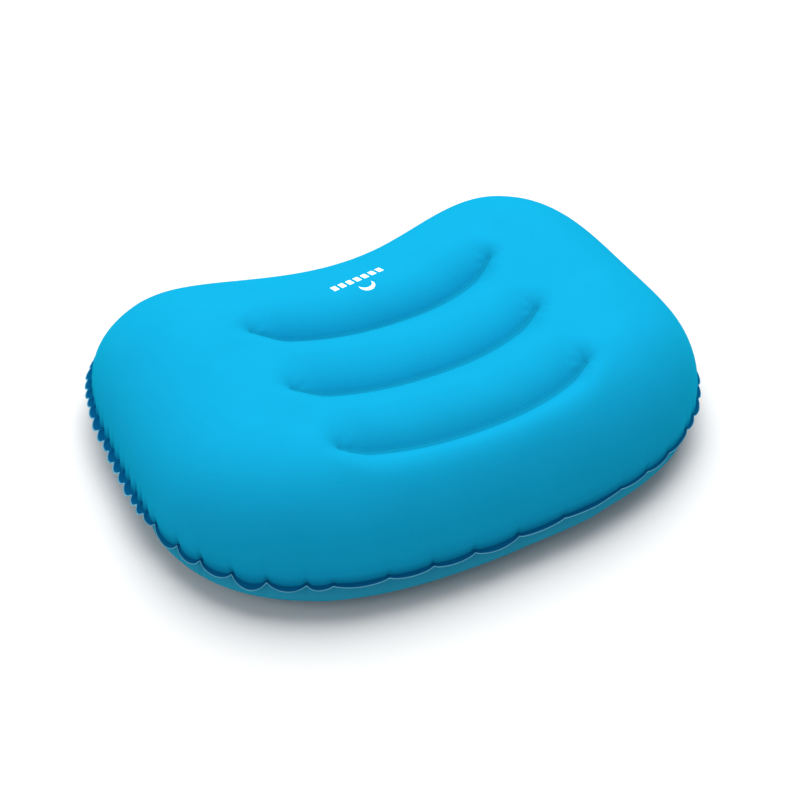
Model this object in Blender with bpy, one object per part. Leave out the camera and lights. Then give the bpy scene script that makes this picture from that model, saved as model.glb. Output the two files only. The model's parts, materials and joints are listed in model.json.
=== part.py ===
"""Inflatable camp pillow: two coated-fabric skins welded round their edge, three curved tie webs
inside, and a two-stage air valve in the underside.

Metres, +Z up. The origin is under the middle of the pillow's box, on the surface it rests on.
+X runs along the pillow, +Y points to the hollowed neck edge. Each sub-part is one named object.
"""

import math

import bmesh
import bpy
import numpy as np
from mathutils import Matrix, Vector
from mathutils.geometry import delaunay_2d_cdt

MM = 0.001

# Outline: a rounded rectangle whose two long edges bow towards +Y at the ends.
SEAM_LENGTH = 438 * MM  # weld to weld, along X
SEAM_WIDTH = 320 * MM  # between the two long edges, before they bow
BACK_BOW = 16 * MM  # how far the ends of the back edge sweep towards +Y
NECK_BOW = 43 * MM  # depth of the hollow in the neck edge
NECK_PEAK = 0.77  # where the hollow ends, as a share of the half length
BACK_SQUARENESS = 3.1  # exponent of the superellipse behind the long axis
NECK_SQUARENESS = 3.8  # and in front of it
MARGIN_WIDTH = 6 * MM  # welded margin outside the seam

# Heights above the ground.
SEAM_HEIGHT = 33 * MM
END_HEIGHT = 99 * MM  # crest of the end lobes, and of the lobes between welds
BACK_HEIGHT = 106 * MM  # crest of the long lobe along the back edge
NECK_HEIGHT = 94 * MM  # crest of the lobe along the neck edge
TOP_SHOULDER = 86 * MM  # plan distance over which the top skin rises to its crest
BACK_SHOULDER = 62 * MM  # the same along the back edge
BOTTOM_SHOULDER = 32 * MM  # plan distance over which the bottom skin comes down to the ground

# Fabric, and the gap that separates welded layers.
SKIN = 0.5 * MM
GAP = 0.3 * MM

# The three welds that hold the tie webs, from the neck edge to the back edge.
WELD_NAMES = ("neck", "middle", "back")
WELD_OFFSETS = (22 * MM, -46 * MM, -115 * MM)  # Y of each weld's middle, before centring
WELD_BOWS = (29 * MM, 24 * MM, 21 * MM)
WELD_CHORD = 201 * MM
WELD_BOW_POWER = 2.8  # above 2, so the welds turn up more towards their ends
WELD_STRIP = 6 * MM  # width of the flat welded strip
WELD_HEIGHTS = (80 * MM, 84 * MM, 89 * MM)  # top skin, along each weld
WELD_RISE = 7 * MM  # bottom skin, along the weld
TOP_GROOVE = 36 * MM  # how far a weld's groove spreads on the top skin
BOTTOM_GROOVE = 20 * MM

# Two-stage valve. Heights are along its axis from the outside face of the bottom skin, + outwards.
VALVE_TURN = 20.0  # direction from the middle of the pillow, in degrees from +X
VALVE_INSET = 29 * MM  # from the seam, in plan
VALVE_HEIGHT = 8.8 * MM  # of the middle of its mouth above the ground
VALVE_TILT = 20.0  # degrees between its axis and straight down
FLANGE_RADIUS = 18 * MM
FLANGE_THICKNESS = 0.8 * MM
SOCKET_BORE = 12 * MM
SOCKET_WALL = 1.4 * MM
SOCKET_RIM = 1.0 * MM
SOCKET_DEPTH = 5.0 * MM
PLUG_CLEARANCE = 0.4 * MM
PLUG_TAPER = 0.5 * MM
PLUG_LIP = SOCKET_BORE + 1.0 * MM
PLUG_LIP_THICKNESS = 1.0 * MM
MOUTH_RADIUS = 8.2 * MM
SPIDER_THICKNESS = 1.0 * MM
AIR_HOLES = 6
AIR_HOLE_RADIUS = 1.4 * MM
STEM_RADIUS = 1.1 * MM
STEM_CLEARANCE = 0.4 * MM
BULB_RADIUS = 2.2 * MM
BULB_THICKNESS = 1.0 * MM
FLAP_RADIUS = 7.2 * MM
FLAP_THICKNESS = 0.5 * MM
FLAP_LIFT = 1.2 * MM
CAP_RADIUS = 9.6 * MM
CAP_THICKNESS = 1.2 * MM
CAP_CLEARANCE = 0.35 * MM
CAP_TAPER = 0.25 * MM
CAP_SPIGOT = 2.8 * MM
CAP_WALL = 1.2 * MM
CAP_TAB = 4.4 * MM
STRAP_THICKNESS = 0.7 * MM
STRAP_WIDTH = 7 * MM
LUG_LENGTH = 1.5 * MM  # how far a lug runs past the hinge line above it
PLUG_HINGE = PLUG_LIP + 5 * MM  # hinge line of the plug's strap, from the valve's axis
CAP_HINGE = CAP_RADIUS + 4 * MM  # hinge line of the cap's strap, on the other side
TURNED_SIDES = 28

# Mesh steps.
EDGE_STEP = 17 * MM
FINE_STEP = 12.5 * MM  # inside the top skin's grooves
FIELD_STEP = 24 * MM  # everywhere else
FINE_OUTLINE = 720


# ---------------------------------------------------------------- outline and surfaces


def signed_power(value, power):
    return np.sign(value) * np.abs(value) ** power


def edge_bows(u):
    """How far the back edge and the neck edge are moved towards +Y at each u."""
    back = BACK_BOW * (u**2 - 0.35)
    neck = -NECK_BOW / 2 * np.cos(math.pi * np.clip(np.abs(u) / NECK_PEAK, 0, 1))
    return back, neck


def bowed(u, v):
    """Plan position of a point of the unit rounded rectangle, before centring."""
    back, neck = edge_bows(u)
    across = (v + 1) / 2
    return SEAM_LENGTH / 2 * u, SEAM_WIDTH / 2 * v + back * (1 - across) + neck * across


def superellipse(angle):
    squareness = np.where(np.sin(angle) < 0, BACK_SQUARENESS, NECK_SQUARENESS)
    u = signed_power(np.cos(angle), 2 / squareness)
    v = signed_power(np.sin(angle), 2 / squareness)
    return u, v


def fine_outline():
    angle = np.linspace(-0.5 * math.pi, 1.5 * math.pi, FINE_OUTLINE, endpoint=False)
    return np.stack(bowed(*superellipse(angle)), axis=1)


RAW_OUTLINE = fine_outline()
CENTRING = -(RAW_OUTLINE[:, 1].max() + RAW_OUTLINE[:, 1].min()) / 2
OUTLINE = RAW_OUTLINE + np.array([0, CENTRING])


def evenly(points, step):
    """The closed outline again, with points about step apart along it."""
    closed = np.vstack([points, points[:1]])
    along = np.concatenate([[0], np.cumsum(np.linalg.norm(np.diff(closed, axis=0), axis=1))])
    count = round(along[-1] / step)
    at = np.linspace(0, along[-1], count, endpoint=False)
    return np.stack([np.interp(at, along, closed[:, k]) for k in (0, 1)], axis=1)


def inward_normals(points):
    run = np.roll(points, -1, axis=0) - np.roll(points, 1, axis=0)
    run /= np.linalg.norm(run, axis=1)[:, None]
    return np.stack([-run[:, 1], run[:, 0]], axis=1)


def distance_to_chain(points, chain):
    """Distance from each point to a chain of straight runs."""
    best = np.full(len(points), np.inf)
    for start, end in zip(chain[:-1], chain[1:]):
        run = end - start
        share = np.clip((points - start) @ run / (run @ run), 0, 1)
        best = np.minimum(best, np.linalg.norm(points - start - share[:, None] * run, axis=1))
    return best


def weld_line(index, count=33):
    x = np.linspace(-WELD_CHORD / 2, WELD_CHORD / 2, count)
    rise = WELD_BOWS[index] * np.abs(2 * x / WELD_CHORD) ** WELD_BOW_POWER
    return np.stack([x, WELD_OFFSETS[index] + CENTRING + rise], axis=1)


WELDS = [weld_line(i) for i in range(len(WELD_NAMES))]


def share_across(points):
    """(u, v) of plan points, undoing the bow."""
    u = 2 * points[:, 0] / SEAM_LENGTH
    back, neck = edge_bows(u)
    v = (2 * (points[:, 1] - CENTRING) - back - neck) / (SEAM_WIDTH + neck - back)
    return u, v


def shoulder(distance, reach):
    """0 at the seam and 1 at reach from it, rising straight up at first as a quarter ellipse does."""
    share = np.clip(1 - distance / reach, 0, 1)
    return np.sqrt(1 - share**2)


def groove(points, reach):
    """1 on the welded strips, falling to 0 at reach from them; and which weld is nearest."""
    away = np.array([distance_to_chain(points, weld) for weld in WELDS])
    beyond = np.clip((away.min(axis=0) - WELD_STRIP / 2) / (reach - WELD_STRIP / 2), 0, 1)
    return (1 - beyond) ** 2, away.argmin(axis=0)


def seam_distance(points):
    """Plan distance inside the seam, negative in the margin."""
    loop = np.vstack([OUTLINE, OUTLINE[:1]])
    away = distance_to_chain(points, loop)
    u, v = share_across(points)
    squareness = np.where(v < 0, BACK_SQUARENESS, NECK_SQUARENESS)
    inside = np.abs(u) ** squareness + np.abs(v) ** squareness < 1
    return np.where(inside, away, -away)


def top_height(points):
    """Height of the top skin's outside face."""
    u, v = share_across(points)
    back_lobe = np.exp(-(((v + 0.65) / 0.4) ** 2)) * (1 - 0.4 * u**2)
    neck_lobe = np.exp(-(((v - 0.75) / 0.3) ** 2))
    crest = END_HEIGHT + (BACK_HEIGHT - END_HEIGHT) * back_lobe
    crest = crest + (NECK_HEIGHT - END_HEIGHT) * neck_lobe
    margin = SEAM_HEIGHT + GAP / 2 + SKIN
    reach = TOP_SHOULDER + (BACK_SHOULDER - TOP_SHOULDER) * back_lobe
    smooth = margin + (crest - margin) * shoulder(seam_distance(points), reach)
    depth, nearest = groove(points, TOP_GROOVE)
    return smooth + (np.array(WELD_HEIGHTS)[nearest] - smooth) * depth


def valve_frame():
    """Middle of the valve's mouth, and its axes: along the seam, across it, and out of the mouth."""
    angle = math.radians(VALVE_TURN)
    turns = np.arctan2(OUTLINE[:, 1], OUTLINE[:, 0])
    nearest = int(np.argmin(np.abs(turns - angle)))
    inward = inward_normals(OUTLINE)[nearest]
    plan = OUTLINE[nearest] + inward * VALVE_INSET
    tilt = math.radians(VALVE_TILT)
    out = Vector((-inward[0] * math.sin(tilt), -inward[1] * math.sin(tilt), -math.cos(tilt)))
    along = Vector((inward[1], -inward[0], 0))
    return Vector((plan[0], plan[1], VALVE_HEIGHT)), along, out.cross(along), out


VALVE_MIDDLE, VALVE_ALONG, VALVE_ACROSS, VALVE_OUT = valve_frame()


def bottom_height(points):
    """Height of the bottom skin's outside face, flat round the valve."""
    margin = SEAM_HEIGHT - GAP / 2 - SKIN
    smooth = margin * (1 - shoulder(seam_distance(points), BOTTOM_SHOULDER))
    smooth = smooth + (WELD_RISE - smooth) * groove(points, BOTTOM_GROOVE)[0]
    from_valve = points - np.array(VALVE_MIDDLE.xy)
    away = np.linalg.norm(from_valve, axis=1)
    plane = VALVE_HEIGHT - (from_valve @ np.array(VALVE_OUT.xy)) / VALVE_OUT.z
    patch = FLANGE_RADIUS + 2 * MM
    blend = np.clip((away - patch) / (VALVE_INSET - patch - 2 * MM), 0, 1)
    blend = blend * blend * (3 - 2 * blend)
    return np.maximum(plane + (smooth - plane) * blend, 0)


# ---------------------------------------------------------------- Blender helpers


def clear_scene():
    for old in list(bpy.data.objects):
        bpy.data.objects.remove(old)


def material(name, colour, roughness, metallic=0.0):
    made = bpy.data.materials.new(name)
    made.use_nodes = True
    shader = made.node_tree.nodes["Principled BSDF"]
    shader.inputs["Base Color"].default_value = (*colour, 1)
    shader.inputs["Roughness"].default_value = roughness
    shader.inputs["Metallic"].default_value = metallic
    return made


def add_object(name, mesh, finish, parent=None, location=(0, 0, 0)):
    made = bpy.data.objects.new(name, mesh)
    bpy.context.scene.collection.objects.link(made)
    made.data.materials.append(finish)
    made.parent = parent
    made.location = location
    return made


def mesh_from(name, shape, smooth=False):
    bmesh.ops.recalc_face_normals(shape, faces=shape.faces)
    mesh = bpy.data.meshes.new(name)
    shape.to_mesh(mesh)
    shape.free()
    if smooth:
        mesh.shade_smooth()
        mesh.set_sharp_from_angle(angle=math.radians(35))
    return mesh


def turned_mesh(name, profile, sides=TURNED_SIDES):
    """A ring or disc turned about local Z from a closed (radius, height) profile."""
    shape = bmesh.new()
    corners = [shape.verts.new((radius, 0, height)) for radius, height in profile]
    edges = [shape.edges.new((a, b)) for a, b in zip(corners, corners[1:] + corners[:1])]
    bmesh.ops.spin(
        shape,
        geom=corners + edges,
        cent=(0, 0, 0),
        axis=(0, 0, 1),
        angle=2 * math.pi,
        steps=sides,
        use_merge=True,
    )
    bmesh.ops.remove_doubles(shape, verts=shape.verts, dist=0.001 * MM)
    flat = [face for face in shape.faces if face.calc_area() < 1e-12]
    bmesh.ops.delete(shape, geom=flat, context="FACES")
    loose = [edge for edge in shape.edges if not edge.link_faces]
    bmesh.ops.delete(shape, geom=loose, context="EDGES")
    return mesh_from(name, shape, smooth=True)


def block_mesh(name, low, high):
    shape = bmesh.new()
    size = Vector(high) - Vector(low)
    middle = (Vector(high) + Vector(low)) / 2
    place = Matrix.Translation(middle) @ Matrix.Diagonal((*size, 1))
    bmesh.ops.create_cube(shape, size=1, matrix=place)
    return mesh_from(name, shape)


def tool(name, mesh, parent, location=(0, 0, 0)):
    """A helper shape for a Boolean, which isn't a piece itself."""
    made = bpy.data.objects.new(name, mesh)
    bpy.context.scene.collection.objects.link(made)
    made.parent = parent
    made.location = location
    made.hide_render = True
    made.display_type = "WIRE"
    return made


def boolean(target, helper, operation):
    step = target.modifiers.new(helper.name, "BOOLEAN")
    step.object = helper
    step.operation = operation
    step.solver = "EXACT"


def frame_empty(name, location, parent=None):
    made = bpy.data.objects.new(name, None)
    bpy.context.scene.collection.objects.link(made)
    made.parent = parent
    made.location = location
    return made


# ---------------------------------------------------------------- skins


def stadium(line, reach, step):
    """Points round a weld at a distance from it, about step apart."""
    run = np.gradient(line, axis=0)
    run /= np.linalg.norm(run, axis=1)[:, None]
    side = np.stack([-run[:, 1], run[:, 0]], axis=1) * reach
    first = math.atan2(run[-1, 1], run[-1, 0]) - math.pi / 2
    second = math.atan2(run[0, 1], run[0, 0]) + math.pi / 2
    half_turn = np.linspace(0, math.pi, 9)[1:-1]
    tip = line[-1] + reach * np.stack([np.cos(first + half_turn), np.sin(first + half_turn)], axis=1)
    tail = line[0] + reach * np.stack([np.cos(second + half_turn), np.sin(second + half_turn)], axis=1)
    middle = len(line) // 2
    lower, upper = line - side, (line + side)[::-1]
    return evenly(np.vstack([lower[middle:], tip, upper, tail, lower[:middle]]), step)


def field_points(reach, taken, groove_reach, groove_step):
    """Points to fill the plan with, closer together inside the grooves, clear of those taken."""
    fields = []
    for step in (groove_step, FIELD_STEP):
        half = round(SEAM_LENGTH / 2 / step)
        x, y = np.meshgrid(
            np.arange(-half, half + 1) * step,
            np.arange(-SEAM_WIDTH / 2, SEAM_WIDTH / 2 + NECK_BOW, step * 0.87),
        )
        x[1::2] += step / 2
        field = np.stack([x.ravel(), y.ravel()], axis=1)
        in_groove = groove(field, groove_reach)[0] > 0.01
        field = field[(seam_distance(field) > reach) & (in_groove == (step == groove_step))]
        apart = np.array([np.linalg.norm(taken - point, axis=1).min() for point in field])
        field = field[apart > 0.55 * step]
        fields.append(field)
        taken = np.vstack([taken, field])
    return np.vstack(fields)


def skin_mesh(name, height, rise, sink, upwards, circles=()):
    """One skin's outside face, as a triangle mesh over the plan, margin included.

    rise is the shoulder's reach and the angles round it that get a ring of points; sink is the
    groove's reach, the shares of it that get a loop, and the step between points inside it.
    """
    shoulder_reach, angles = rise
    groove_reach, shares, groove_step = sink
    edge = evenly(OUTLINE, EDGE_STEP)
    normals = inward_normals(edge)
    border = edge - normals * MARGIN_WIDTH
    rings = [border, edge]
    for angle in angles:
        rings.append(edge + normals * shoulder_reach * (1 - math.cos(math.radians(angle))))
    loops = [
        stadium(weld, WELD_STRIP / 2 + groove_reach * share, groove_step * (0.8 + share))
        for weld in WELDS
        for share in shares
    ]
    kept = [*rings, *loops, *circles]
    inner = shoulder_reach * (1 - math.cos(math.radians(angles[-1] + 9)))
    field = field_points(inner, np.vstack(kept), groove_reach, groove_step)
    points = np.vstack([*kept, field])
    outer = list(range(len(border)))
    lines = [(a, (a + 1) % len(border)) for a in outer]
    start = sum(len(ring) for ring in rings)
    for loop in loops:
        lines += [(start + a, start + (a + 1) % len(loop)) for a in range(len(loop))]
        start += len(loop)
    flat = [Vector(point) for point in points]
    verts, _, faces, _, _, _ = delaunay_2d_cdt(flat, lines, [outer], 1, 1e-6)
    plan = np.array([vert[:] for vert in verts])
    levels = height(plan)
    shape = bmesh.new()
    made = [shape.verts.new((*point, level)) for point, level in zip(plan, levels)]
    for face in faces:
        corners = [made[i] for i in (face if upwards else face[::-1])]
        shape.faces.new(corners)
    mesh = bpy.data.meshes.new(name)
    shape.to_mesh(mesh)
    shape.free()
    mesh.shade_smooth()
    return mesh


def add_skin(name, mesh, finish):
    skin = add_object(name, mesh, finish)
    wall = skin.modifiers.new("wall", "SOLIDIFY")
    wall.thickness = SKIN
    wall.offset = -1
    wall.use_even_offset = True
    wall.use_quality_normals = True
    return skin


def valve_circle(radius, count):
    turn = np.linspace(0, 2 * math.pi, count, endpoint=False)
    return np.array(VALVE_MIDDLE.xy) + radius * np.stack([np.cos(turn), np.sin(turn)], axis=1)


def add_skins(finish):
    rise = (TOP_SHOULDER, (14, 30, 46, 60))
    sink = (TOP_GROOVE, (0, 0.25), FINE_STEP)
    top = skin_mesh("top_skin", top_height, rise, sink, True)
    add_skin("top_skin", top, finish)
    patch = FLANGE_RADIUS + 2 * MM
    circles = [valve_circle(patch, 18), valve_circle(patch + 4 * MM, 18)]
    rise = (BOTTOM_SHOULDER, (18, 40, 60))
    sink = (BOTTOM_GROOVE - WELD_STRIP / 2, (0, 0.4, 1), 13 * MM)
    bottom = skin_mesh("bottom_skin", bottom_height, rise, sink, False, circles)
    return add_skin("bottom_skin", bottom, finish)


# ---------------------------------------------------------------- tie webs


def add_web(index, finish):
    """A tie web: a standing strip with a welded foot along its top and its bottom edge."""
    line = weld_line(index, 15)
    run = np.gradient(line, axis=0)
    run /= np.linalg.norm(run, axis=1)[:, None]
    side = np.stack([-run[:, 1], run[:, 0]], axis=1)
    top = WELD_HEIGHTS[index] - SKIN - GAP
    low = WELD_RISE + SKIN + GAP
    foot, half = WELD_STRIP / 2, SKIN / 2
    section = [
        (-foot, low),
        (foot, low),
        (foot, low + SKIN),
        (half, low + SKIN),
        (half, top - SKIN),
        (foot, top - SKIN),
        (foot, top),
        (-foot, top),
        (-foot, top - SKIN),
        (-half, top - SKIN),
        (-half, low + SKIN),
        (-foot, low + SKIN),
    ]
    shape = bmesh.new()
    rows = []
    for point, across in zip(line, side):
        rows.append([shape.verts.new((*(point + across * s), z)) for s, z in section])
    for near, far in zip(rows[:-1], rows[1:]):
        for i in range(len(section)):
            k = (i + 1) % len(section)
            shape.faces.new((near[i], near[k], far[k], far[i]))
    shape.faces.new(rows[0])
    shape.faces.new(rows[-1])
    name = f"tie_web_{WELD_NAMES[index]}"
    return add_object(name, mesh_from(name, shape), finish)


# ---------------------------------------------------------------- valve

LIP_BASE = SOCKET_RIM + GAP
LIP_TOP = LIP_BASE + PLUG_LIP_THICKNESS
SPIDER_TOP = -SOCKET_DEPTH + PLUG_CLEARANCE + SPIDER_THICKNESS
SPIDER_BASE = SPIDER_TOP - SPIDER_THICKNESS
CAP_BASE = LIP_TOP + GAP
PLUG_HINGE_LEVEL = LIP_BASE + STRAP_THICKNESS / 2
CAP_HINGE_LEVEL = CAP_BASE + STRAP_THICKNESS / 2


def valve_base(parent, finish):
    """Soft ring: a flange welded inside the bottom skin, and a socket that comes up through it."""
    outer = SOCKET_BORE + SOCKET_WALL
    flange_top = -SKIN - GAP
    flange_base = flange_top - FLANGE_THICKNESS
    profile = [
        (SOCKET_BORE, SOCKET_RIM),
        (outer, SOCKET_RIM),
        (outer, flange_top),
        (FLANGE_RADIUS, flange_top),
        (FLANGE_RADIUS, flange_base),
        (outer - 0.4 * MM, flange_base),
        (outer - 0.6 * MM, -SOCKET_DEPTH),
        (SOCKET_BORE - 0.4 * MM, -SOCKET_DEPTH),
    ]
    base = add_object("valve_base", turned_mesh("valve_base", profile), finish, parent)
    lug = block_mesh(
        "base_lug",
        (-PLUG_HINGE - LUG_LENGTH, -STRAP_WIDTH / 2, GAP),
        (-SOCKET_BORE - SOCKET_WALL / 2, STRAP_WIDTH / 2, SOCKET_RIM - 0.05 * MM),
    )
    boolean(base, tool("base_lug", lug, parent), "UNION")
    return base


def valve_plug(parent, finish):
    """Plug with the mouth, a spider with air holes, a strap to its hinge and a lug for the cap's."""
    outer = SOCKET_BORE - PLUG_CLEARANCE
    centre = STEM_RADIUS + STEM_CLEARANCE
    profile = [
        (PLUG_LIP, LIP_TOP),
        (PLUG_LIP, LIP_BASE),
        (outer, LIP_BASE),
        (outer - PLUG_TAPER, SPIDER_BASE),
        (centre, SPIDER_BASE),
        (centre, SPIDER_TOP),
        (MOUTH_RADIUS - 0.2 * MM, SPIDER_TOP),
        (MOUTH_RADIUS, LIP_TOP),
    ]
    hinge = Vector((-PLUG_HINGE, 0, PLUG_HINGE_LEVEL))
    plug = add_object("valve_plug", turned_mesh("valve_plug", profile), finish, parent)
    plug.data.transform(Matrix.Translation(-hinge))
    strap = block_mesh(
        "plug_strap",
        (-STRAP_THICKNESS / 2, -STRAP_WIDTH / 2, -STRAP_THICKNESS / 2),
        (PLUG_HINGE - PLUG_LIP + 1.5 * MM, STRAP_WIDTH / 2, STRAP_THICKNESS / 2),
    )
    boolean(plug, tool("plug_strap", strap, parent), "UNION")
    lug = block_mesh(
        "plug_lug",
        (PLUG_LIP - 1.5 * MM, -STRAP_WIDTH / 2, LIP_BASE + 0.1 * MM),
        (CAP_HINGE + LUG_LENGTH, STRAP_WIDTH / 2, LIP_TOP - 0.05 * MM),
    )
    lug.transform(Matrix.Translation(-hinge))
    boolean(plug, tool("plug_lug", lug, parent), "UNION")
    ring = (MOUTH_RADIUS + centre) / 2
    drill = bmesh.new()
    for turn in np.arange(AIR_HOLES) * 2 * math.pi / AIR_HOLES:
        place = Matrix.Translation((ring * math.cos(turn), ring * math.sin(turn), SPIDER_TOP))
        bmesh.ops.create_cone(
            drill,
            cap_ends=True,
            segments=12,
            radius1=AIR_HOLE_RADIUS,
            radius2=AIR_HOLE_RADIUS,
            depth=4 * SPIDER_THICKNESS,
            matrix=Matrix.Translation(-hinge) @ place,
        )
    boolean(plug, tool("air_holes", mesh_from("air_holes", drill), parent), "DIFFERENCE")
    return plug


def check_flap(parent, finish):
    """Silicone disc under the spider, held by a stem and a bulb pushed through the centre hole."""
    disc_top = SPIDER_BASE - GAP
    bulb_base = SPIDER_TOP + FLAP_LIFT + STEM_CLEARANCE
    profile = [
        (0, disc_top - FLAP_THICKNESS),
        (FLAP_RADIUS, disc_top - FLAP_THICKNESS),
        (FLAP_RADIUS, disc_top),
        (STEM_RADIUS, disc_top),
        (STEM_RADIUS, bulb_base),
        (BULB_RADIUS, bulb_base),
        (STEM_RADIUS, bulb_base + BULB_THICKNESS),
        (0, bulb_base + BULB_THICKNESS),
    ]
    return add_object("check_flap", turned_mesh("check_flap", profile), finish, parent)


def valve_cap(parent, finish):
    """Cap with a hollow spigot, a strap to its hinge and a tab to lift it by."""
    spigot = MOUTH_RADIUS - CAP_CLEARANCE
    tip = CAP_BASE - CAP_SPIGOT
    profile = [
        (0, CAP_BASE + CAP_THICKNESS),
        (CAP_RADIUS, CAP_BASE + CAP_THICKNESS),
        (CAP_RADIUS, CAP_BASE),
        (spigot, CAP_BASE),
        (spigot - CAP_TAPER, tip),
        (spigot - CAP_WALL, tip),
        (spigot - CAP_WALL, CAP_BASE),
        (0, CAP_BASE),
    ]
    hinge = Vector((CAP_HINGE, 0, CAP_HINGE_LEVEL))
    cap = add_object("valve_cap", turned_mesh("valve_cap", profile), finish, parent)
    cap.data.transform(Matrix.Translation(-hinge))
    band = block_mesh(
        "cap_band",
        (-CAP_HINGE - CAP_RADIUS - CAP_TAB, -STRAP_WIDTH / 2, -STRAP_THICKNESS / 2),
        (STRAP_THICKNESS / 2, STRAP_WIDTH / 2, STRAP_THICKNESS / 2),
    )
    core = block_mesh(
        "cap_core",
        (-CAP_HINGE - spigot + CAP_WALL / 2, -STRAP_WIDTH, -STRAP_THICKNESS),
        (-CAP_HINGE + spigot - CAP_WALL / 2, STRAP_WIDTH, CAP_THICKNESS / 4),
    )
    strap = tool("cap_band", band, parent)
    boolean(strap, tool("cap_core", core, parent), "DIFFERENCE")
    boolean(cap, strap, "UNION")
    return cap


def add_valve(skin):
    mouth = frame_empty("valve_frame", VALVE_MIDDLE)
    mouth.rotation_euler = Matrix((VALVE_ALONG, VALVE_ACROSS, VALVE_OUT)).transposed().to_euler()
    soft = material("valve_tpu", (0.03, 0.033, 0.037), 0.42)
    rubber = material("valve_silicone", (0.62, 0.64, 0.64), 0.5)
    hole_radius = SOCKET_BORE + SOCKET_WALL + GAP
    drill = bmesh.new()
    bmesh.ops.create_cone(
        drill,
        cap_ends=True,
        segments=TURNED_SIDES,
        radius1=hole_radius,
        radius2=hole_radius,
        depth=8 * MM,
    )
    boolean(skin, tool("skin_hole", mesh_from("skin_hole", drill), mouth), "DIFFERENCE")
    valve_base(mouth, soft)
    plug_joint = frame_empty("plug_joint", (-PLUG_HINGE, 0, PLUG_HINGE_LEVEL), mouth)
    valve_plug(plug_joint, soft)
    seat = frame_empty("plug_middle", (PLUG_HINGE, 0, -PLUG_HINGE_LEVEL), plug_joint)
    check_flap(seat, rubber)
    cap_joint = frame_empty("cap_joint", (CAP_HINGE, 0, CAP_HINGE_LEVEL), seat)
    valve_cap(cap_joint, soft)


def main():
    clear_scene()
    fabric = material("coated_polyester", (0.010, 0.375, 0.745), 0.5)
    film = material("clear_tpu_film", (0.55, 0.72, 0.80), 0.4)
    bottom = add_skins(fabric)
    for index in range(len(WELD_NAMES)):
        add_web(index, film)
    add_valve(bottom)


main()
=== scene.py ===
# %% [markdown]
# # An inflatable camp pillow
# Two skins of coated fabric are welded together round their edge and blown up through a valve.
# Three curved strips of film inside tie the top to the bottom, and pull the top into soft lobes.
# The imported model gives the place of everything; this script gives the look.

# %% Load the frame
import json
import math

import bmesh
import bpy
import numpy as np
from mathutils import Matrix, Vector
from mathutils.geometry import delaunay_2d_cdt


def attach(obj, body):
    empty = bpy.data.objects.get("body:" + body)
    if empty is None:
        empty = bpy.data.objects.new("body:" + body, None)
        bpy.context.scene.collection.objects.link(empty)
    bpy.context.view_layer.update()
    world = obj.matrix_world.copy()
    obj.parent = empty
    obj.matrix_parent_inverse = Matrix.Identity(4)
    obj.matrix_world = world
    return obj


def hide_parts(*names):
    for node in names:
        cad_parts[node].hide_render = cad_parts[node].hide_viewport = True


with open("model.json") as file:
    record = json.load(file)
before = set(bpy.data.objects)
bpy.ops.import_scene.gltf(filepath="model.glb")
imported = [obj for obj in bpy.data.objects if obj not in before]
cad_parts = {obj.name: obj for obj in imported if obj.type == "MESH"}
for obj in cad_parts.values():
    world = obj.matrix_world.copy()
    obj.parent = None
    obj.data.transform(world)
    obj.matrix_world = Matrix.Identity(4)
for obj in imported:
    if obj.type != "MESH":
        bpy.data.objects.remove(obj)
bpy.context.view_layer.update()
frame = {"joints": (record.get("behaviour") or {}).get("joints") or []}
MM = 0.001

# %% [markdown]
# ## Camera, floor and light
# The camera stands in front of the long back edge, a little to the left, and looks down at the top.
# A long lens from about a metre keeps the far edge almost as wide as the near one.
# The light is a bright white room: a big soft panel overhead and behind, a weaker one in front.

# %% Camera
CAMERA_AZIMUTH, CAMERA_ELEVATION, CAMERA_DISTANCE = -26.9, 43.2, 1.05
CAMERA_LENS = 60.9525  # mm, on a sensor 36 mm wide
CAMERA_SHIFT = (-0.0075, 0.0235)  # the pillow stands a little right of the middle and below it


def direction(azimuth, elevation):
    a, e = math.radians(azimuth), math.radians(elevation)
    return Vector((math.sin(a) * math.cos(e), -math.cos(a) * math.cos(e), math.sin(e)))


camera_data = bpy.data.cameras.new("camera")
camera_data.sensor_width = 36
camera_data.lens = CAMERA_LENS
camera_data.shift_x, camera_data.shift_y = CAMERA_SHIFT
camera = bpy.data.objects.new("camera", camera_data)
bpy.context.scene.collection.objects.link(camera)
towards_camera = direction(CAMERA_AZIMUTH, CAMERA_ELEVATION)
camera.location = towards_camera * CAMERA_DISTANCE
camera.rotation_euler = (-towards_camera).to_track_quat("-Z", "Y").to_euler()
bpy.context.scene.camera = camera
print("lens", round(camera_data.lens, 1), "mm")


# %% Colours and nodes
def linear(hex_colour):
    """An sRGB hex colour as the linear RGBA that shaders take."""
    channels = [int(hex_colour[i : i + 2], 16) / 255 for i in (1, 3, 5)]
    return (*[c / 12.92 if c <= 0.04045 else ((c + 0.055) / 1.055) ** 2.4 for c in channels], 1)


def add_node(tree, kind, links=(), **settings):
    """A node with its settings; links are (input, value or output socket) pairs."""
    node = tree.nodes.new(kind)
    for name, value in settings.items():
        setattr(node, name, value)
    for name, value in links:
        if isinstance(value, bpy.types.NodeSocket):
            tree.links.new(value, node.inputs[name])
        else:
            node.inputs[name].default_value = value
    return node


def new_material(name, **values):
    """A material with a Principled shader; values are its inputs, spaces as underscores."""
    made = bpy.data.materials.new(name)
    made.use_nodes = True
    shader = made.node_tree.nodes["Principled BSDF"]
    for key, value in values.items():
        shader.inputs[key.replace("_", " ")].default_value = value
    return made, made.node_tree, shader


# %% Floor and light
bpy.context.scene.view_settings.view_transform = "Standard"

bpy.ops.object.select_all(action="DESELECT")
bpy.ops.mesh.primitive_plane_add(size=8, location=(0, 0, 0))
floor = bpy.context.object
floor.name = "floor"
floor_paint, _, _ = new_material("matt_white_paint", Base_Color=linear("#d4d4d4"), Roughness=0.9)
floor.data.materials.append(floor_paint)

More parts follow.
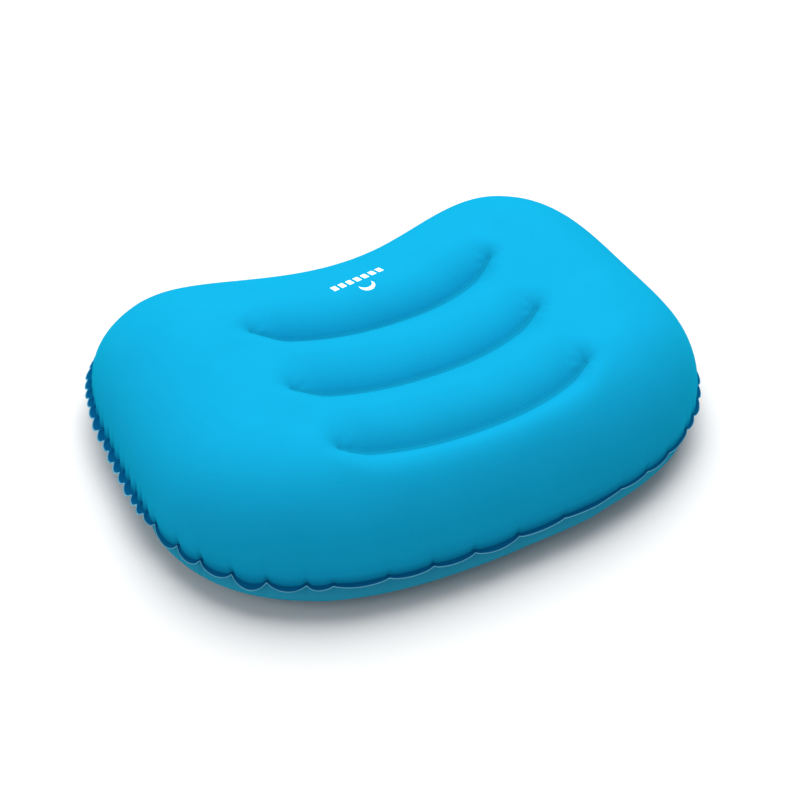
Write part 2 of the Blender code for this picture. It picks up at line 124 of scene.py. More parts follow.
world = bpy.data.worlds.new("white_room")
world.use_nodes = True
world.node_tree.nodes["Background"].inputs["Color"].default_value = linear("#ffffff")
world.node_tree.nodes["Background"].inputs["Strength"].default_value = 0.46
bpy.context.scene.world = world


def soft_panel(name, azimuth, elevation, distance, size, watts):
    light = bpy.data.lights.new(name, "AREA")
    light.shape = "DISK"
    light.size = size
    light.energy = watts
    lamp = bpy.data.objects.new(name, light)
    bpy.context.scene.collection.objects.link(lamp)
    way = direction(azimuth, elevation)
    lamp.location = way * distance
    lamp.rotation_euler = (-way).to_track_quat("-Z", "Y").to_euler()
    return lamp


soft_panel("overhead_panel", 150, 72, 2.2, 2.4, 80)
soft_panel("left_panel", -75, 40, 2.2, 1.2, 8)
print("light: 2 soft panels and a white room")

# %% [markdown]
# ## The shape
# The outline is a rounded rectangle whose long edges bow, so the neck side is hollow.
# The top rises from the seam as a quarter of an ellipse does, which is what air pressure makes of
# fabric that is held along one line. Each weld holds the top down, and the skin swells between
# welds, so a groove is a cusp: steep at the weld and level where the next lobe has its crest.
# The seam's outline and the main heights are the model's own. Four things differ from it: the
# margin's width, a dip at the left of the neck lobe, a slower rise at the right end, and the welds,
# which are shorter here. Most of the skin lies within 4 mm of the model's, the weld ends within 12.

# %% Outline
SEAM_LENGTH, SEAM_WIDTH = 438 * MM, 320 * MM
BACK_BOW, NECK_BOW, NECK_PEAK = 16 * MM, 43 * MM, 0.77
BACK_SQUARENESS, NECK_SQUARENESS = 3.1, 3.8
MARGIN_WIDTH = 5.4 * MM


def signed_power(value, power):
    return np.sign(value) * np.abs(value) ** power


def edge_bows(u):
    """How far the back edge and the neck edge are moved towards +Y at each u."""
    back = BACK_BOW * (u**2 - 0.35)
    neck = -NECK_BOW / 2 * np.cos(math.pi * np.clip(np.abs(u) / NECK_PEAK, 0, 1))
    return back, neck


def bowed(u, v):
    back, neck = edge_bows(u)
    across = (v + 1) / 2
    return SEAM_LENGTH / 2 * u, SEAM_WIDTH / 2 * v + back * (1 - across) + neck * across


def raw_outline(count):
    angle = np.linspace(-0.5 * math.pi, 1.5 * math.pi, count, endpoint=False)
    squareness = np.where(np.sin(angle) < 0, BACK_SQUARENESS, NECK_SQUARENESS)
    u = signed_power(np.cos(angle), 2 / squareness)
    v = signed_power(np.sin(angle), 2 / squareness)
    return np.stack(bowed(u, v), axis=1)


def evenly(points, count):
    """count points evenly spaced along a closed line, starting at its first point."""
    closed = np.vstack([points, points[:1]])
    along = np.concatenate([[0], np.cumsum(np.linalg.norm(np.diff(closed, axis=0), axis=1))])
    at = np.linspace(0, along[-1], count, endpoint=False)
    return np.stack([np.interp(at, along, closed[:, k]) for k in (0, 1)], axis=1), along[-1]


SEAM_POINTS = 1200
RAW = raw_outline(20000)
CENTRING = -(RAW[:, 1].max() + RAW[:, 1].min()) / 2
SEAM, SEAM_AROUND = evenly(RAW + np.array([0, CENTRING]), SEAM_POINTS)
ALONG_STEP = SEAM_AROUND / SEAM_POINTS
tangents = np.roll(SEAM, -1, axis=0) - np.roll(SEAM, 1, axis=0)
tangents /= np.linalg.norm(tangents, axis=1)[:, None]
OUTWARD = np.stack([tangents[:, 1], -tangents[:, 0]], axis=1)
print("seam", round(SEAM_AROUND / MM), "mm round,", SEAM_POINTS, "points")

# %% Distances
WELD_OFFSETS, WELD_BOWS = (20.5 * MM, -47.5 * MM, -116 * MM), (29 * MM, 24 * MM, 21 * MM)
WELD_CHORDS, WELD_SHIFT, WELD_BOW_POWER = (197 * MM, 195 * MM, 189 * MM), -3 * MM, 2.3
WELD_STRIP = 4.0 * MM


def weld_line(index, count=97):
    share = np.linspace(-1, 1, count)
    rise = WELD_BOWS[index] * np.abs(share) ** WELD_BOW_POWER
    x = WELD_SHIFT + WELD_CHORDS[index] / 2 * share
    return np.stack([x, WELD_OFFSETS[index] + CENTRING + rise], axis=1)


WELDS = [weld_line(i) for i in range(3)]


def nearest(points, chain, closed=False):
    """Distance from each point to a chain of straight runs, and how far along the chain that is."""
    ends = np.roll(chain, -1, axis=0) if closed else chain[1:]
    best, where = np.full(len(points), np.inf), np.zeros(len(points))
    for i, (start, end) in enumerate(zip(chain, ends)):
        run = end - start
        share = np.clip((points - start) @ run / (run @ run), 0, 1)
        away = np.linalg.norm(points - start - share[:, None] * run, axis=1)
        closer = away < best
        best[closer], where[closer] = away[closer], i + share[closer]
    return best, where


# %% Heights
SEAM_HEIGHT, END_HEIGHT, BACK_HEIGHT, NECK_HEIGHT = 33 * MM, 99 * MM, 106 * MM, 94 * MM
TOP_SHOULDER, BACK_SHOULDER, BOTTOM_SHOULDER = 86 * MM, 62 * MM, 32 * MM
WELD_HEIGHTS, WELD_RISE = np.array([82, 86, 91]) * MM, 7 * MM
TOP_GROOVE, BOTTOM_GROOVE = 35 * MM, 20 * MM
FADE_FROM, FADE_TO = 0.78, 1.1  # shares of a weld's half length
LEFT_DIP = 5 * MM  # the neck lobe is lower towards its left end
RIGHT_SLACK = 0.16  # the right end rises this much less steeply
LOBE_ROUNDNESS = 1.22  # radius of a lobe's section over half its width


def shoulder(distance, reach):
    share = np.clip(1 - distance / reach, 0, 1)
    return np.sqrt(1 - share**2)


def groove(points, away, reach):
    """1 on a weld, 0 where the lobe beside it has its crest, and a circle's arc between them.

    Past FADE_FROM of its half length a weld pulls less and less, so its groove gets shallower.
    """
    ending = np.abs(points[:, 0] - WELD_SHIFT) / (WELD_CHORDS[0] / 2)
    ending = np.clip((ending - FADE_FROM) / (FADE_TO - FADE_FROM), 0, 1)
    ending = ending * ending * (3 - 2 * ending)
    reach = reach * (1 - 0.45 * ending)
    share = 1 - np.clip((away - WELD_STRIP / 2) / (reach - WELD_STRIP / 2), 0, 1)
    low = math.sqrt(LOBE_ROUNDNESS**2 - 1)
    arc = (np.sqrt(LOBE_ROUNDNESS**2 - share**2) - low) / (LOBE_ROUNDNESS - low)
    return (1 - arc) * (1 - 0.6 * ending)


def share_across(points):
    u = 2 * points[:, 0] / SEAM_LENGTH
    back, neck = edge_bows(u)
    return u, (2 * (points[:, 1] - CENTRING) - back - neck) / (SEAM_WIDTH + neck - back)


PUCKER_RISE, PUCKER_REACH, PUCKER_WIDTH, PUCKERS_ROUND = 0.3 * MM, 7 * MM, 5 * MM, 7


def end_puckers(points):
    """Small ripples that radiate from each end of each weld."""
    ripple = np.zeros(len(points))
    for index, weld in enumerate(WELDS):
        for end in (weld[0], weld[-1]):
            off = points - end
            reach = np.linalg.norm(off, axis=1)
            turn = np.arctan2(off[:, 1], off[:, 0])
            fade = np.exp(-(((reach - PUCKER_REACH) / PUCKER_WIDTH) ** 2))
            fade *= np.clip(reach / PUCKER_REACH, 0, 1)
            ripple += PUCKER_RISE * np.cos(PUCKERS_ROUND * turn + 2 * index) * fade
    return ripple


def top_height(points, inside, away):
    u, v = share_across(points)
    back_lobe = np.exp(-(((v + 0.65) / 0.4) ** 2)) * (1 - 0.4 * u**2)
    neck_lobe = np.exp(-(((v - 0.75) / 0.3) ** 2))
    inside = inside * (1 - RIGHT_SLACK * np.clip(u, 0, 1) ** 4)
    crest = END_HEIGHT + (BACK_HEIGHT - END_HEIGHT) * back_lobe
    dip = LEFT_DIP * np.exp(-(((u + 0.6) / 0.4) ** 2))
    crest = crest + (NECK_HEIGHT - END_HEIGHT - dip) * neck_lobe
    reach = TOP_SHOULDER + (BACK_SHOULDER - TOP_SHOULDER) * back_lobe
    smooth = SEAM_HEIGHT + (crest - SEAM_HEIGHT) * shoulder(inside, reach)
    weld_height = WELD_HEIGHTS[away.argmin(axis=0)]
    grooved = smooth + (weld_height - smooth) * groove(points, away.min(axis=0), TOP_GROOVE)
    return grooved + end_puckers(points)


# %% [markdown]
# The valve sits in the underside. Its place and its three directions come from the model's joints:
# the plug's hinge, the cap's hinge across the mouth, and the way the check flap slides.
# The bottom skin is flat on the valve's own plane there, and is cut out round its socket.

# %% Bottom, with the valve's flat
PLUG_HINGE_OUT, PLUG_HINGE_UP = 18 * MM, 1.65 * MM  # from the valve's middle, along and out
FLAT_RADIUS, FLAT_BLEND, HOLE_RADIUS = 20 * MM, 7 * MM, 13.7 * MM
joints = {joint["name"]: joint for joint in frame["joints"]}
VALVE_OUT = -Vector(joints["check_flap_lift"]["axis"]).normalized()
VALVE_ACROSS = Vector(joints["cap_strap_hinge"]["axis"]).normalized()
VALVE_ALONG = VALVE_ACROSS.cross(VALVE_OUT)
plug_hinge_at = Vector(joints["plug_strap_hinge"]["pos_m"])
VALVE_MIDDLE = plug_hinge_at + VALVE_ALONG * PLUG_HINGE_OUT - VALVE_OUT * PLUG_HINGE_UP
print("valve middle", [round(c / MM, 1) for c in VALVE_MIDDLE], "mm")


def bottom_height(points, inside, away):
    smooth = SEAM_HEIGHT * (1 - shoulder(inside, BOTTOM_SHOULDER))
    smooth = smooth + (WELD_RISE - smooth) * groove(points, away.min(axis=0), BOTTOM_GROOVE)
    from_valve = points - np.array(VALVE_MIDDLE.xy)
    off = np.linalg.norm(from_valve, axis=1)
    plane = VALVE_MIDDLE.z - (from_valve @ np.array(VALVE_OUT.xy)) / VALVE_OUT.z
    blend = np.clip((off - FLAT_RADIUS) / FLAT_BLEND, 0, 1)
    blend = blend * blend * (3 - 2 * blend)
    return np.maximum(plane + (smooth - plane) * blend, 0)


# %% [markdown]
# ## Puckers
# The skins are cut flat, so once they are round there is too much edge where the outline turns.
# The welded margin gathers there in scallops: it is pinched up and in at each tuck, and bows out
# and down between two tucks. Along the straight back and the hollow neck it lies almost smooth.
# Each stretch of the seam has its own spacing and depth of scallops, and small random differences.

# %% Tucks round the seam
# Each stretch: where it ends in plan (mm), spacing of tucks (mm), depth of scallops, droop
# (degrees), how much of the margin's full width stands out, and how far the underside swells.
STRETCHES = (
    ((70, -164), 40, 0.35, 28, 0.55, 0.7),
    ((160, -133), 30, 0.35, 24, 0.4, 0.4),
    ((222, -66), 18, 0.8, 20, 0.5, 0.1),
    ((224, 118), 14, 1.7, 12, 1.5, 0.0),
    ((165, 170), 17, 1.2, 25, 1.0, 0.2),
    ((-165, 170), 36, 0.3, 30, 0.8, 0.6),
    ((-214, 130), 12, 1.2, 20, 1.0, 0.1),
    ((-222, -40), 11, 1.5, 14, 1.1, 0.0),
    ((-140, -141), 21, 1.15, 46, 0.55, 0.75),
    ((0, -170), 30, 0.6, 35, 0.6, 0.85),
)
rng = np.random.default_rng(12)
SEAM_S = np.arange(SEAM_POINTS) * ALONG_STEP


def seam_at(plan):
    return SEAM_S[np.argmin(np.linalg.norm(SEAM - np.array(plan) * MM, axis=1))]


def place_tucks():
    ends = [seam_at(plan) for plan, *_ in STRETCHES]
    ends[-1] = SEAM_AROUND
    spots, at = [], 0.0
    while at < SEAM_AROUND - 6 * MM:
        spots.append(at)
        stretch = next(i for i, end in enumerate(ends) if at < end)
        at += STRETCHES[stretch][1] * MM * rng.uniform(0.78, 1.28)
    return np.array(spots), np.array(ends)


TUCKS, STRETCH_ENDS = place_tucks()
LOBE_SIZES = rng.uniform(0.75, 1.25, len(TUCKS))
TUCK_SIZES = rng.uniform(0.6, 1.3, len(TUCKS))


def along_seam(column, reach=14 * MM):
    """A column of the stretches at every seam point, blended over a short way where they meet."""
    value = np.zeros(SEAM_POINTS)
    total = np.zeros(SEAM_POINTS)
    starts = np.concatenate([[0], STRETCH_ENDS[:-1]])
    for row, start, end in zip(STRETCHES, starts, STRETCH_ENDS):
        middle, half = (start + end) / 2, (end - start) / 2
        off = np.abs((SEAM_S - middle + SEAM_AROUND / 2) % SEAM_AROUND - SEAM_AROUND / 2)
        weight = 1 / (1 + np.exp(np.clip((off - half) / reach * 4, -50, 50)))
        value += row[column] * weight
        total += weight
    return value / total


DEPTH, DROOP, SHOWING = along_seam(2), np.radians(along_seam(3)), along_seam(4)
SWELL = along_seam(5)


def lobes():
    """The scallop at each seam point, 0 at a tuck and 1 midway; and how close a tuck is."""
    following = np.append(TUCKS[1:], TUCKS[0] + SEAM_AROUND)
    index = np.searchsorted(TUCKS, SEAM_S, side="right") - 1
    run = following[index] - TUCKS[index]
    share = (SEAM_S - TUCKS[index]) / run
    wave = 4 * share * (1 - share)
    size = LOBE_SIZES[index] * np.clip(run / (14 * MM), 0.6, 1.5)
    gap = np.minimum(SEAM_S - TUCKS[index], following[index] - SEAM_S)
    closer = np.where(share < 0.5, index, (index + 1) % len(TUCKS))
    pinch = np.exp(-((gap / (1.7 * MM)) ** 2)) * TUCK_SIZES[closer]
    return wave * size, pinch


SCALLOP, PINCH = lobes()
print(len(TUCKS), "tucks round the seam")

# %% [markdown]
# ## The two skins
# Air pressure in a cloth simulation could shape these skins. Heights are drawn instead, because
# the remesh that a simulation needs would take away the map for print and weave, and a seam as
# narrow as this one.
# Each skin is one closed sheet: rings of points follow the margin, the seam and the steep shoulder,
# loops follow the welds, and an even field fills the rest. A Delaunay triangulation joins them all.
# It keeps the points close where the shape turns sharply and wide apart where it is calm.

# %% Points of a skin
MARGIN_RINGS = np.array([1, 0.82, 0.6, 0.36, 0.16]) * -MARGIN_WIDTH
SHOULDER_RINGS = np.array([0, 0.5, 1.1, 1.9, 3, 4.4, 6.2, 8.5, 11.5, 15, 19, 23.5, 28]) * MM
COARSE_FROM = 8 * MM  # rings further in have half as many points
FIELD_STEP = 3.3 * MM


def weld_loop(line, reach, step):
    """Points at a distance all round a weld."""
    run = np.gradient(line, axis=0)
    run /= np.linalg.norm(run, axis=1)[:, None]
    side = np.stack([-run[:, 1], run[:, 0]], axis=1) * reach
    turns = np.linspace(0, math.pi, 15)[1:-1]
    rounds = []
    for end, heading, first in ((-1, run[-1], -0.5), (0, run[0], 0.5)):
        angle = math.atan2(heading[1], heading[0]) + first * math.pi + turns
        rounds.append(line[end] + reach * np.stack([np.cos(angle), np.sin(angle)], axis=1))
    loop = np.vstack([line - side, rounds[0], (line + side)[::-1], rounds[1]])
    around = np.linalg.norm(np.diff(loop, axis=0), axis=1).sum()
    return evenly(loop, round(around / step))[0]


def plan_points(loop_reaches, circles):
    """Plan points of a skin, with the edge lines that the triangulation has to keep."""
    offsets = (*MARGIN_RINGS, *SHOULDER_RINGS)
    rings = [SEAM - OUTWARD * offset for offset in offsets]
    rings = [ring if offset < COARSE_FROM else ring[::2] for ring, offset in zip(rings, offsets)]
    loops = [weld_loop(weld, r, 1.4 * MM + r / 9) for weld in WELDS for r in loop_reaches]
    closed = [*rings, *loops, *circles]
    half_x, half_y = round(SEAM_LENGTH / 2 / FIELD_STEP), round(SEAM_WIDTH / 1.7 / FIELD_STEP)
    x, y = np.meshgrid(np.arange(-half_x, half_x + 1), np.arange(-half_y, half_y + 1) * 0.87)
    x = x + 0.5 * (np.round(y / 0.87) % 2)
    field = np.stack([x.ravel(), y.ravel()], axis=1) * FIELD_STEP
    inside, _ = nearest(field, SEAM[::6], closed=True)
    u, v = share_across(field)
    squareness = np.where(v < 0, BACK_SQUARENESS, NECK_SQUARENESS)
    inside = np.where(np.abs(u) ** squareness + np.abs(v) ** squareness < 1, inside, -1)
    away = np.min([nearest(field, weld)[0] for weld in WELDS], axis=0)
    keep = (inside > SHOULDER_RINGS[-1] + 2.4 * MM) & (away > loop_reaches[-1] + 2 * MM)
    for circle in circles:
        middle = circle.mean(axis=0)
        reach = np.linalg.norm(circle[0] - middle)
        keep &= np.abs(np.linalg.norm(field - middle, axis=1) - reach) > 1.6 * MM
    points = np.vstack([*closed, field[keep]])
    lines, start = [], 0
    for loop in closed:
        lines += [(start + i, start + (i + 1) % len(loop)) for i in range(len(loop))]
        start += len(loop)
    return points, lines


# %% Place of each point of a skin
SCALLOP_OUT, SCALLOP_DOWN, FULL_DROOP = 1.8 * MM, 3.2 * MM, math.radians(46)
PINCH_IN, PINCH_REACH, PINCH_TURN = 1.2 * MM, {1: 0.8 * MM, -1: 2.6 * MM}, 0.8 * MM
HALF_APART = 0.35 * MM
BULGE = {1: (1.6 * MM, 1.0 * MM), -1: (5.5 * MM, 4.0 * MM)}  # how far, and where inside the seam


def at_seam(where, values):
    """Values of the seam's points, between those points."""
    low = np.floor(where).astype(int) % SEAM_POINTS
    share = where - np.floor(where)
    if values.ndim == 2:
        share = share[:, None]
    return values[low] * (1 - share) + values[(low + 1) % SEAM_POINTS] * share


def skin_places(points, height, side):
    """Plan points lifted to the skin, with the margin's droop, its scallops and the tucks."""
    away, where = nearest(points, SEAM, closed=True)
    u, v = share_across(points)
    squareness = np.where(v < 0, BACK_SQUARENESS, NECK_SQUARENESS)
    within = np.abs(u) ** squareness + np.abs(v) ** squareness < 1
    inside = np.where(within, away, -away)
    from_weld = np.array([nearest(points, weld)[0] for weld in WELDS])
    outward = at_seam(where, OUTWARD)
    depth, droop = at_seam(where, DEPTH), at_seam(where, DROOP)
    scallop, pinch = at_seam(where, SCALLOP) * depth, at_seam(where, PINCH) * depth
    z = height(points, np.maximum(inside, 0), from_weld)
    # The margin turns down from the seam, more in its scallops.
    out = np.maximum(-inside, 0)
    turn = droop * np.clip(0.55 + 0.5 * scallop, 0, 1.5)
    showing = at_seam(where, SHOWING)
    bent = out * np.cos(turn) * showing - out
    z = z - out * np.sin(turn) * showing
    # Air swells the skin out past the seam on both sides of it.
    far, peak = BULGE[side]
    swell = np.maximum(inside, 0) / peak
    far = far * at_seam(where, SWELL)
    bent = bent + far * swell * np.exp(1 - swell)
    # Scallops push out and down at the edge and fade up the shoulder; tucks pull in.
    fade = np.exp(-np.maximum(inside, 0) / (0.7 * MM)) * (0.35 + 0.65 * out / MARGIN_WIDTH)
    bent = bent + SCALLOP_OUT * (scallop - 0.5 * depth) * fade
    z = z - SCALLOP_DOWN * np.sin(droop) / np.sin(FULL_DROOP) * (scallop - 0.6 * depth) * fade
    crease = np.exp(-np.maximum(inside, 0) / PINCH_REACH[side])
    bent = bent - PINCH_IN * pinch * crease * (1 - 0.6 * out / MARGIN_WIDTH)
    level = np.clip(1 - inside / PINCH_TURN, -1, 1) if side < 0 else 1
    z = z + 0.5 * PINCH_IN * pinch * crease * level
    # In the margin the two skins lie on each other, each a little off the line between them.
    apart = side * HALF_APART * np.exp(-np.maximum(inside, 0) / (4 * MM))
    bent = bent + apart * np.sin(turn)
    z = z + apart * np.cos(turn)
    plan = points + outward * bent[:, None]
    return np.column_stack([plan, z]), inside, from_weld.min(axis=0), where


# %% Make a skin
SKIN = 0.4 * MM
LOOPS_TOP = np.array([0.4, 2.0, 3.0, 4.4, 6.2, 8.4, 11, 14]) * MM
LOOPS_BOTTOM = np.array([0.4, 2.0, 3.2, 5.5, 8.5]) * MM


def shoulder_length(inside, reach, rise):
    """How much longer the shoulder's curve is than its plan, from inside up to its crest."""
    steps = np.linspace(0, reach, 400)
    level = rise * shoulder(steps, reach)
    along = np.concatenate([[0], np.cumsum(np.hypot(np.diff(steps), np.diff(level)))])
    left = along[-1] - np.interp(inside, steps, along)
    return left - np.clip(reach - inside, 0, None)


MARGIN_BLEND, CUT_SHARE, WELD_BLEND = 6, 0.93, 1.2 * MM


def point_values(mesh, name, values):
    """Store one number at each point, for the material to read."""
    attribute = mesh.attributes.new(name, "FLOAT", "POINT")
    attribute.data.foreach_set("value", values.astype(np.float32))


def make_skin(name, height, side, loop_reaches, reach, rise, circles=()):
    points, lines = plan_points(loop_reaches, circles)
    border = list(range(SEAM_POINTS))
    flat = [Vector(point) for point in points]
    verts, _, faces, _, _, _ = delaunay_2d_cdt(flat, lines, [border], 1, 1e-7)
    plan = np.array([vert[:] for vert in verts])
    places, inside, from_weld, where = skin_places(plan, height, side)
    if circles:
        middle = circles[0].mean(axis=0)
        hole = np.linalg.norm(plan - middle, axis=1) < HOLE_RADIUS - 0.05 * MM
        faces = [face for face in faces if not any(hole[i] for i in face)]
    if side < 0:
        faces = [face[::-1] for face in faces]
    mesh = bpy.data.meshes.new(name)
    mesh.from_pydata(places.tolist(), [], faces)
    mesh.shade_smooth()
    shift = shoulder_length(np.maximum(inside, 0), reach, rise) + np.maximum(-inside, 0)
    cloth = plan + at_seam(where, OUTWARD) * shift[:, None]
    layer = mesh.uv_layers.new(name="cloth")
    corner = np.zeros(len(mesh.loops), dtype=int)
    mesh.loops.foreach_get("vertex_index", corner)
    layer.data.foreach_set("uv", cloth[corner].astype(np.float32).ravel())
    point_values(mesh, "margin", np.clip(-inside / MARGIN_WIDTH * MARGIN_BLEND + 0.6, 0, 1))
    point_values(mesh, "under", np.full(len(places), side < 0))
    point_values(mesh, "cut", -inside > CUT_SHARE * MARGIN_WIDTH)
    point_values(mesh, "weld", np.clip(1 - (from_weld - WELD_STRIP / 2) / WELD_BLEND, 0, 1))
    skin = bpy.data.objects.new(name, mesh)
    bpy.context.scene.collection.objects.link(skin)
    bm = bmesh.new()
    bm.from_mesh(mesh)
    bmesh.ops.delete(bm, geom=[v for v in bm.verts if not v.link_faces], context="VERTS")
    bm.to_mesh(mesh)
    bm.free()
    wall = skin.modifiers.new("wall", "SOLIDIFY")
    wall.thickness, wall.offset = SKIN, -1
    print(name, len(mesh.vertices), "points")
    return skin


def circle_points(reach, count):
    turn = np.linspace(0, 2 * math.pi, count, endpoint=False)
    return np.array(VALVE_MIDDLE.xy) + reach * np.stack([np.cos(turn), np.sin(turn)], axis=1)


pillow_top = make_skin(
    "pillow_top", top_height, 1, LOOPS_TOP, TOP_SHOULDER, END_HEIGHT - SEAM_HEIGHT
)
VALVE_CIRCLES = [circle_points(HOLE_RADIUS, 64), circle_points(FLAT_RADIUS, 64)]
pillow_bottom = make_skin(
    "pillow_bottom", bottom_height, -1, LOOPS_BOTTOM, BOTTOM_SHOULDER, SEAM_HEIGHT, VALVE_CIRCLES
)

# %% [markdown]
# ## Coated polyester
# The fabric is a fine polyester weave with a film of TPU on the inside, dyed cyan blue.

# %% Fabric
fabric, tree, shader = new_material("coated_polyester", Roughness=0.52)
shader.inputs["Specular IOR Level"].default_value = 0.0
shader.inputs["Sheen Weight"].default_value = 0.16
shader.inputs["Sheen Tint"].default_value = linear("#00edff")
DYED, UNDERSIDE_SHADE, FUSED_AND_SHADED = linear("#0e8db6"), linear("#2486a6"), linear("#034b76")
# The underside skin is drawn in a greyer cyan than the top: painted shade, with painted bounce
# light from the floor, on the same fabric where it faces down.
under_mask = add_node(tree, "ShaderNodeAttribute", attribute_name="under")
sides = add_node(
    tree,
    "ShaderNodeMix",
    data_type="RGBA",
    links=[(0, under_mask.outputs["Fac"]), (6, DYED), (7, UNDERSIDE_SHADE)],
)
# The welded margin is drawn in a dark navy: partly the fused fabric's own darker colour, partly
# painted shade where the margin lies under the dome's overhang.
margin_mask = add_node(tree, "ShaderNodeAttribute", attribute_name="margin")
colour_with_shaded_margin = add_node(
    tree,
    "ShaderNodeMix",
    data_type="RGBA",
    links=[(0, margin_mask.outputs["Fac"]), (6, sides.outputs[2]), (7, FUSED_AND_SHADED)],
)
cut_mask = add_node(tree, "ShaderNodeAttribute", attribute_name="cut")
edged = add_node(
    tree,
    "ShaderNodeMix",
    data_type="RGBA",
    links=[(0, cut_mask.outputs["Fac"]), (6, colour_with_shaded_margin.outputs[2]), (7, linear("#6fb9d2"))],
)


def math_node(tree, operation, *values):
    """A Math node's output, fed with numbers or with other nodes' outputs."""
    return add_node(tree, "ShaderNodeMath", enumerate(values), operation=operation).outputs[0]


# The dye takes up a little unevenly over hand-sized areas.
cloth = add_node(tree, "ShaderNodeUVMap", uv_map="cloth")
uneven = add_node(
    tree,
    "ShaderNodeTexNoise",
    links=[("Vector", cloth.outputs["UV"]), ("Scale", 22), ("Detail", 3)],
)
shade = math_node(tree, "MULTIPLY_ADD", uneven.outputs["Fac"], 0.10, 0.95)

# %% Weave
WEAVE_PITCH = 1.0 * MM  # drawn wider than the real quarter of a millimetre, so that it shows
BAND_SCALE = 2 * math.pi / (20 * WEAVE_PITCH)  # a Wave texture has 20 radians to a unit
WEAVE_TURN = math.radians(28)
threads = []
for bands in ("DIAGONAL", "X"):
    turned = add_node(
        tree,
        "ShaderNodeMapping",
        links=[("Vector", cloth.outputs["UV"]), ("Rotation", (0, 0, WEAVE_TURN))],
    )
    wave = add_node(
        tree,
        "ShaderNodeTexWave",
        bands_direction=bands,
        links=[
            ("Vector", turned.outputs[0]),
            ("Scale", BAND_SCALE),
            ("Distortion", 0.4),
            ("Detail", 1),
        ],
    )
    threads.append(wave.outputs["Fac"])
weave = math_node(tree, "MULTIPLY", *threads)
shade = math_node(tree, "MULTIPLY_ADD", weave, 0.08, math_node(tree, "SUBTRACT", shade, 0.03))
weave_bump = add_node(
    tree, "ShaderNodeBump", links=[("Strength", 0.5), ("Distance", 0.08 * MM), ("Height", weave)]
)

# %% Crumple of the pressed welds
WELD_GROOVE_SHADE = 0.3
weld_mask = add_node(tree, "ShaderNodeAttribute", attribute_name="weld")
crumple = add_node(
    tree,
    "ShaderNodeTexNoise",
    links=[("Vector", cloth.outputs["UV"]), ("Scale", 420), ("Detail", 2)],
)
pressed = math_node(tree, "MAXIMUM", weld_mask.outputs["Fac"], margin_mask.outputs["Fac"])
crumpled = math_node(tree, "MULTIPLY", crumple.outputs["Fac"], pressed)
bump = add_node(
    tree,
    "ShaderNodeBump",
    links=[
        ("Strength", 0.5),
        ("Distance", 0.5 * MM),
        ("Height", crumpled),
        ("Normal", weave_bump.outputs[0]),
    ],
)
tree.links.new(bump.outputs[0], shader.inputs["Normal"])
# The weld strips are drawn darker: painted shade at the bottom of each groove.
groove_shade = math_node(tree, "MULTIPLY_ADD", weld_mask.outputs["Fac"], -WELD_GROOVE_SHADE, 1)
shade = math_node(tree, "MULTIPLY", shade, groove_shade)
woven_gloss = math_node(tree, "MULTIPLY_ADD", weave, 0.08, 0.5)
gloss = math_node(tree, "MULTIPLY_ADD", pressed, -0.12, woven_gloss)
tree.links.new(gloss, shader.inputs["Roughness"])

# %% [markdown]
# ## Print
# A small mark is screen printed in white on the neck lobe, and reads from the neck side.
# A crescent over a row of plain bars stands for it. Both are drawn by distances on the cloth's own
# map, so the ink follows the fabric: a bar is where a saw-tooth of the map is near its middle.

# %% Printed mark
PRINT_MIDDLE, PRINT_TURN = (-9 * MM, 64 * MM), 11
BAR_PITCH, BAR_HALF_HEIGHT, ROW_HALF_LENGTH = 6.9, 3.3, 24.1  # mm
BAR_SHARE = 0.62  # how much of the pitch a bar takes up
place = add_node(
    tree,
    "ShaderNodeMapping",
    vector_type="TEXTURE",
    links=[
        ("Vector", cloth.outputs["UV"]),
        ("Location", (*PRINT_MIDDLE, 0)),
        ("Rotation", (0, 0, math.radians(PRINT_TURN))),
        ("Scale", (MM, MM, MM)),
    ],
)
across, up, _ = add_node(tree, "ShaderNodeSeparateXYZ", links=[(0, place.outputs[0])]).outputs
tooth = math_node(tree, "FRACT", math_node(tree, "MULTIPLY_ADD", across, 1 / BAR_PITCH, 0.5 + 8))
from_middle = math_node(tree, "ABSOLUTE", math_node(tree, "SUBTRACT", tooth, 0.5))
bars = math_node(tree, "LESS_THAN", from_middle, BAR_SHARE / 2)
for way, half in ((up, BAR_HALF_HEIGHT), (across, ROW_HALF_LENGTH)):
    in_row = math_node(tree, "LESS_THAN", math_node(tree, "ABSOLUTE", way), half)
    bars = math_node(tree, "MULTIPLY", bars, in_row)


def disc(middle, radius, inside):
    off = add_node(
        tree,
        "ShaderNodeVectorMath",
        operation="DISTANCE",
        links=[(0, place.outputs[0]), (1, (*middle, 0))],
    )
    return math_node(tree, "LESS_THAN" if inside else "GREATER_THAN", off.outputs["Value"], radius)


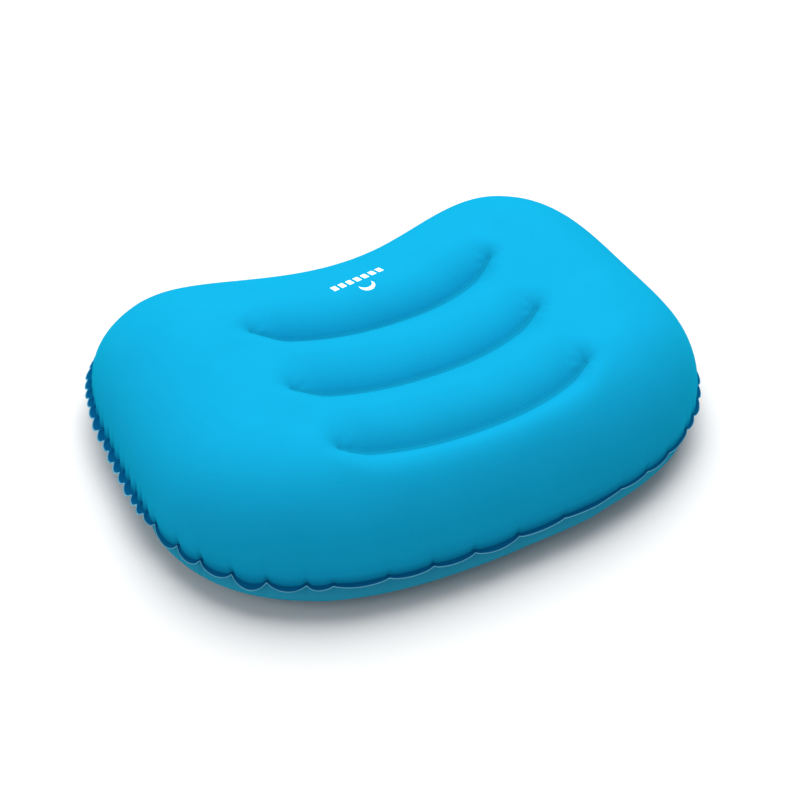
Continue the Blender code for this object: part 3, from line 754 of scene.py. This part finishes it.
crescent = math_node(tree, "MULTIPLY", disc((0, -12.5), 6.2, True), disc((0, -9.6), 5.6, False))
ink = math_node(tree, "MAXIMUM", bars, crescent)
on_top = math_node(tree, "SUBTRACT", 1, under_mask.outputs["Fac"])
ink = math_node(tree, "MULTIPLY", ink, on_top)
shaded = add_node(
    tree,
    "ShaderNodeVectorMath",
    operation="SCALE",
    links=[(0, edged.outputs[2]), ("Scale", shade)],
)
printed = add_node(
    tree,
    "ShaderNodeMix",
    data_type="RGBA",
    links=[(0, ink), (6, shaded.outputs[0]), (7, linear("#f6fbfb"))],
)
tree.links.new(printed.outputs[2], shader.inputs["Base Color"])
for skin in (pillow_top, pillow_bottom):
    skin.data.materials.append(fabric)
    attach(skin, "pillow")
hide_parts("top_skin")
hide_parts("bottom_skin")

# %% [markdown]
# ## Film and valve
# The webs are clear TPU film; the valve is soft TPU moulded in a spark-eroded tool, which leaves a
# fine even grain, and its flap is clear silicone. Object coordinates are enough for these.

# %% Film, moulded TPU and silicone


def grained(name, colour, roughness, grain, depth, **values):
    """A material with a fine grain: its size across and its depth, in metres."""
    made, tree, shader = new_material(name, Base_Color=colour, **values)
    place = add_node(tree, "ShaderNodeTexCoord")
    noise = add_node(
        tree,
        "ShaderNodeTexNoise",
        links=[
            ("Vector", place.outputs["Object"]),
            ("Scale", 1 / grain),
            ("Detail", 4),
            ("Roughness", 0.6),
        ],
    )
    bump = add_node(
        tree,
        "ShaderNodeBump",
        links=[("Strength", 0.6), ("Distance", depth), ("Height", noise.outputs["Fac"])],
    )
    tree.links.new(bump.outputs[0], shader.inputs["Normal"])
    patchy = math_node(tree, "MULTIPLY_ADD", noise.outputs["Fac"], 0.16, roughness - 0.08)
    tree.links.new(patchy, shader.inputs["Roughness"])
    return made


film = grained(
    "clear_tpu_film", linear("#bfe0ee"), 0.3, 5 * MM, 0.3 * MM, Transmission_Weight=0.7, IOR=1.5
)
moulded_tpu = grained("moulded_tpu", linear("#202327"), 0.42, 0.5 * MM, 0.06 * MM)
silicone = grained(
    "clear_silicone", linear("#cfd4d4"), 0.4, 3 * MM, 0.1 * MM, Transmission_Weight=0.35, IOR=1.41
)
NODE_FINISHES = {
    "tie_web_neck": film,
    "tie_web_middle": film,
    "tie_web_back": film,
    "valve_base": moulded_tpu,
    "valve_plug": moulded_tpu,
    "check_flap": silicone,
    "valve_cap": moulded_tpu,
}
for node_name, finish in NODE_FINISHES.items():
    for slot in bpy.data.objects[node_name].material_slots:
        slot.material = finish
print(len(NODE_FINISHES), "model parts given their finish")
